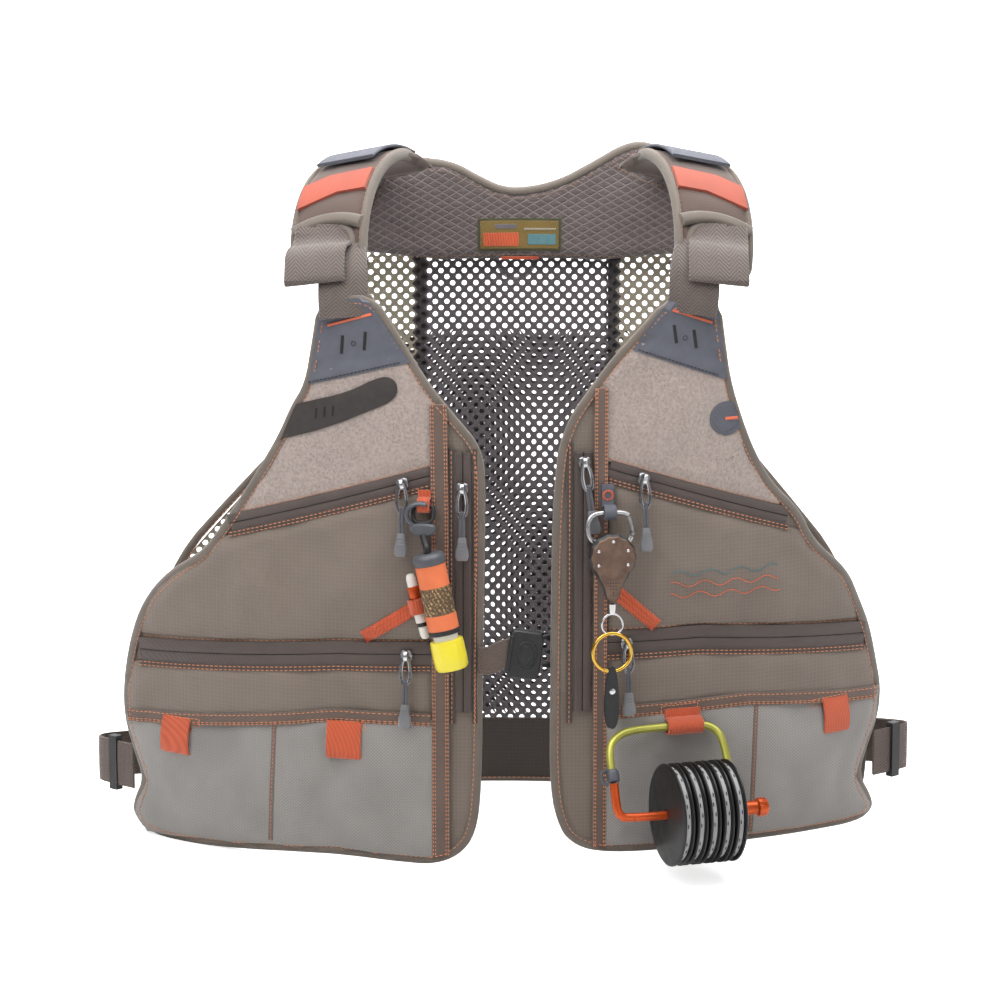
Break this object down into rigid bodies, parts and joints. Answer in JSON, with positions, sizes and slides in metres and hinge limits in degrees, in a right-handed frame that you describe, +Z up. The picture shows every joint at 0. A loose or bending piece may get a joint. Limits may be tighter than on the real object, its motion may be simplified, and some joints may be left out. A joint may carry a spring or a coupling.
{
  "type": "fishing vest",
  "caption": "Sleeveless vest with quilted yoke, padded shoulders, two zipped pocket fronts that swing open, side straps, and hanging angling tools.",
  "frame": {"origin": "where a hook bears in the hang loop at the back of the neck", "axes": "+X to the left side of the wearer, -Y out of the front, +Z up"},
  "size_m": [0.6102, 0.3128, 0.5028],
  "materials": {
    "ripstop": "matt ripstop weave",
    "binding": "matt folded binding with orange stitches",
    "back_mesh": "open big-hole knitted mesh",
    "band_cloth": "matt plain weave",
    "lining": "quilted lining",
    "padding": "padded matt cloth",
    "orange_tape": "woven tape",
    "webbing": "woven webbing",
    "fleece": "loop fleece",
    "hypalon": "fine grained sheet",
    "dark_sheet": "fine grained sheet",
    "fine_mesh": "fine knitted mesh",
    "zip_tape": "woven zip tape with moulded coil",
    "brown_tape": "twin stitched tape",
    "black_plastic": "moulded acetal",
    "zip_metal": "dark enamel",
    "grip": "moulded grip on cord",
    "ring_metal": "polished",
    "steel": "satin",
    "sleeve": "stretch knit with metallic thread",
    "cap": "moulded cap",
    "tube": "moulded tube",
    "reel": "leather-faced case",
    "brass": "polished gold ring",
    "green_rod": "anodised rod",
    "anodised": "anodised orange"
  },
  "bodies": {
    "vest_back": {"back_panel": "back_mesh", "yoke": "lining", "hang_loop": "webbing", "back_band": "band_cloth", "shoulder_right": "padding", "shoulder_left": "padding", "shoulder_strips": "orange_tape", "shoulder_straps": "webbing", "side_webbing": "webbing"},
    "front_right": {"panel_right": "ripstop", "binding_right": "binding", "fleece_right": "fleece", "hypalon_right": "hypalon", "tab_right": "dark_sheet", "chest_pocket_right": "ripstop", "lower_pocket_right": "ripstop", "mesh_pocket_right": "fine_mesh", "zips_right": "zip_tape", "tape_right": "brown_tape", "loops_right": "orange_tape", "buckle_right": "black_plastic"},
    "front_left": {"panel_left": "ripstop", "binding_left": "binding", "fleece_left": "fleece", "hypalon_left": "hypalon", "chest_pocket_left": "ripstop", "lower_pocket_left": "ripstop", "mesh_pocket_left": "fine_mesh", "zips_left": "zip_tape", "tape_left": "brown_tape", "loops_left": "orange_tape", "buckle_left": "black_plastic"},
    "tippet": {"tippet_frame": "green_rod", "tippet_bar": "anodised"},
    "adjuster_right_body": {"adjuster_right": "black_plastic"},
    "adjuster_left_body": {"adjuster_left": "black_plastic"},
    "net_ring_body": {"net_ring": "ring_metal"},
    "slider_chest_right_body": {"slider_chest_right": "zip_metal"},
    "pull_chest_right_body": {"pull_chest_right": "grip"},
    "slider_mid_right_body": {"slider_mid_right": "zip_metal"},
    "pull_mid_right_body": {"pull_mid_right": "grip"},
    "slider_side_right_body": {"slider_side_right": "zip_metal"},
    "floatant_clip_body": {"floatant_clip": "black_plastic"},
    "floatant_sleeve_body": {"floatant_sleeve": "sleeve"},
    "floatant_bottle_body": {"floatant_bottle": "cap"},
    "floatant_tube_body": {"floatant_tube": "tube"},
    "slider_chest_left_body": {"slider_chest_left": "zip_metal"},
    "pull_chest_left_body": {"pull_chest_left": "grip"},
    "slider_mid_left_body": {"slider_mid_left": "zip_metal"},
    "pull_mid_left_body": {"pull_mid_left": "grip"},
    "slider_side_left_body": {"slider_side_left": "zip_metal"},
    "carabiner_body": {"carabiner": "steel"},
    "carabiner_gate_body": {"carabiner_gate": "steel"},
    "retractor_reel_body": {"retractor_reel": "reel"},
    "retractor_fob_body": {"retractor_fob": "brass"},
    "spool_1_body": {"spool_1": "black_plastic"},
    "spool_2_body": {"spool_2": "black_plastic"},
    "spool_3_body": {"spool_3": "black_plastic"},
    "spool_4_body": {"spool_4": "black_plastic"},
    "spool_5_body": {"spool_5": "black_plastic"}
  },
  "joints": [
    {"name": "front_right_open", "type": "hinge", "parent": "vest_back", "child": "front_right", "pos_m": [-0.122, -0.227, -0.049], "axis": [-0.421, 0.251, -0.8717], "range_deg": [0, 60]},
    {"name": "front_left_open", "type": "hinge", "parent": "vest_back", "child": "front_left", "pos_m": [0.123, -0.227, -0.047], "axis": [-0.3755, -0.2587, 0.89], "range_deg": [0, 60]},
    {"name": "adjuster_right_slide", "type": "slide", "parent": "vest_back", "child": "adjuster_right_body", "axis": [0.7446, -0.6675, 0], "range_m": [-0.009, 0.009]},
    {"name": "adjuster_left_slide", "type": "slide", "parent": "vest_back", "child": "adjuster_left_body", "axis": [-0.7446, -0.6675, 0], "range_m": [-0.009, 0.009]},
    {"name": "net_ring_swing", "type": "hinge", "parent": "vest_back", "child": "net_ring_body", "pos_m": [0, 0.0024, -0.037], "axis": [1, 0, 0], "range_deg": [0, 120]},
    {"name": "zip_chest_right", "type": "hinge", "parent": "front_right", "child": "slider_chest_right_body", "pos_m": [-0.01091, 0.18778, -0.15654], "axis": [-0.2811, 0, 0.9597], "range_deg": [-15.7, 0]},
    {"name": "pull_chest_right", "type": "hinge", "parent": "slider_chest_right_body", "child": "pull_chest_right_body", "pos_m": [-0.08041, -0.24408, -0.1765], "axis": [-0.985, 0.1725, 0], "range_deg": [0, 140]},
    {"name": "zip_mid_right", "type": "hinge", "parent": "front_right", "child": "slider_mid_right_body", "pos_m": [-0.01016, 0.15993, -0.29354], "axis": [-0.0793, 0, 0.9969], "range_deg": [-28.8, 0]},
    {"name": "pull_mid_right", "type": "hinge", "parent": "slider_mid_right_body", "child": "pull_mid_right_body", "pos_m": [-0.07837, -0.24443, -0.299], "axis": [-0.9859, 0.1675, 0], "range_deg": [0, 140]},
    {"name": "zip_edge_right", "type": "slide", "parent": "front_right", "child": "slider_side_right_body", "axis": [0, 0, -1], "range_m": [0, 0.145]},
    {"name": "floatant_swing", "type": "hinge", "parent": "front_right", "child": "floatant_clip_body", "pos_m": [-0.06516, -0.24686, -0.19], "axis": [-0.9908, 0.135, 0], "range_deg": [0, 60]},
    {"name": "floatant_turn", "type": "hinge", "parent": "floatant_clip_body", "child": "floatant_sleeve_body", "pos_m": [-0.06322, -0.26226, -0.217], "axis": [-0.206, 0.0281, 0.9781], "continuous": true},
    {"name": "floatant_pull_out", "type": "slide", "parent": "floatant_sleeve_body", "child": "floatant_bottle_body", "axis": [0.206, -0.0281, -0.9781], "range_m": [0, 0.055]},
    {"name": "floatant_tube_turn", "type": "hinge", "parent": "front_right", "child": "floatant_tube_body", "pos_m": [-0.06962, -0.24885, -0.261], "axis": [-0.2394, 0.0351, 0.9703], "continuous": true},
    {"name": "zip_chest_left", "type": "hinge", "parent": "front_left", "child": "slider_chest_left_body", "pos_m": [-0.00821, 0.19211, -0.14302], "axis": [0.3074, 0, 0.9516], "range_deg": [0, 14.2]},
    {"name": "pull_chest_left", "type": "hinge", "parent": "slider_chest_left_body", "child": "pull_chest_left_body", "pos_m": [0.08899, -0.23802, -0.1738], "axis": [-0.9702, -0.2425, 0], "range_deg": [0, 140]},
    {"name": "zip_mid_left", "type": "hinge", "parent": "front_left", "child": "slider_mid_left_body", "pos_m": [-0.00988, 0.15914, -0.28584], "axis": [0.0621, 0, 0.9981], "range_deg": [0, 26.1]},
    {"name": "pull_mid_left", "type": "hinge", "parent": "slider_mid_left_body", "child": "pull_mid_left_body", "pos_m": [0.07776, -0.24065, -0.2912], "axis": [-0.9766, -0.215, 0], "range_deg": [0, 40]},
    {"name": "zip_edge_left", "type": "slide", "parent": "front_left", "child": "slider_side_left_body", "axis": [0, 0, -1], "range_m": [0, 0.075]},
    {"name": "carabiner_swing", "type": "hinge", "parent": "front_left", "child": "carabiner_body", "pos_m": [0.06434, -0.24825, -0.195], "axis": [-0.9837, -0.18, 0], "range_deg": [0, 60]},
    {"name": "carabiner_gate_open", "type": "hinge", "parent": "carabiner_body", "child": "carabiner_gate_body", "pos_m": [0.07997, -0.24702, -0.2094], "axis": [0.18, -0.9837, 0], "range_deg": [0, 25], "stiffness_Nm_per_rad": 0.004, "springref_deg": -34.38},
    {"name": "reel_swing", "type": "hinge", "parent": "carabiner_body", "child": "retractor_reel_body", "pos_m": [0.0647, -0.25022, -0.216], "axis": [-0.9837, -0.18, 0], "range_deg": [0, 45]},
    {"name": "reel_cord_out", "type": "slide", "parent": "retractor_reel_body", "child": "retractor_fob_body", "axis": [0, -1, 0], "range_m": [0, 0.45], "stiffness_N_per_m": 1.5, "springref_m": -0.3},
    {"name": "tippet_swing", "type": "hinge", "parent": "front_left", "child": "tippet", "pos_m": [0.11834, -0.23213, -0.351], "axis": [-0.9499, -0.3125, 0], "range_deg": [0, 25]},
    {"name": "spool_1_spin", "type": "hinge", "parent": "tippet", "child": "spool_1_body", "pos_m": [0.12866, -0.26348, -0.406], "axis": [0.9499, 0.3125, 0], "continuous": true},
    {"name": "spool_2_spin", "type": "hinge", "parent": "tippet", "child": "spool_2_body", "pos_m": [0.12866, -0.26348, -0.406], "axis": [0.9499, 0.3125, 0], "continuous": true},
    {"name": "spool_3_spin", "type": "hinge", "parent": "tippet", "child": "spool_3_body", "pos_m": [0.12866, -0.26348, -0.406], "axis": [0.9499, 0.3125, 0], "continuous": true},
    {"name": "spool_4_spin", "type": "hinge", "parent": "tippet", "child": "spool_4_body", "pos_m": [0.12866, -0.26348, -0.406], "axis": [0.9499, 0.3125, 0], "continuous": true},
    {"name": "spool_5_spin", "type": "hinge", "parent": "tippet", "child": "spool_5_body", "pos_m": [0.12866, -0.26348, -0.406], "axis": [0.9499, 0.3125, 0], "continuous": true}
  ]
}
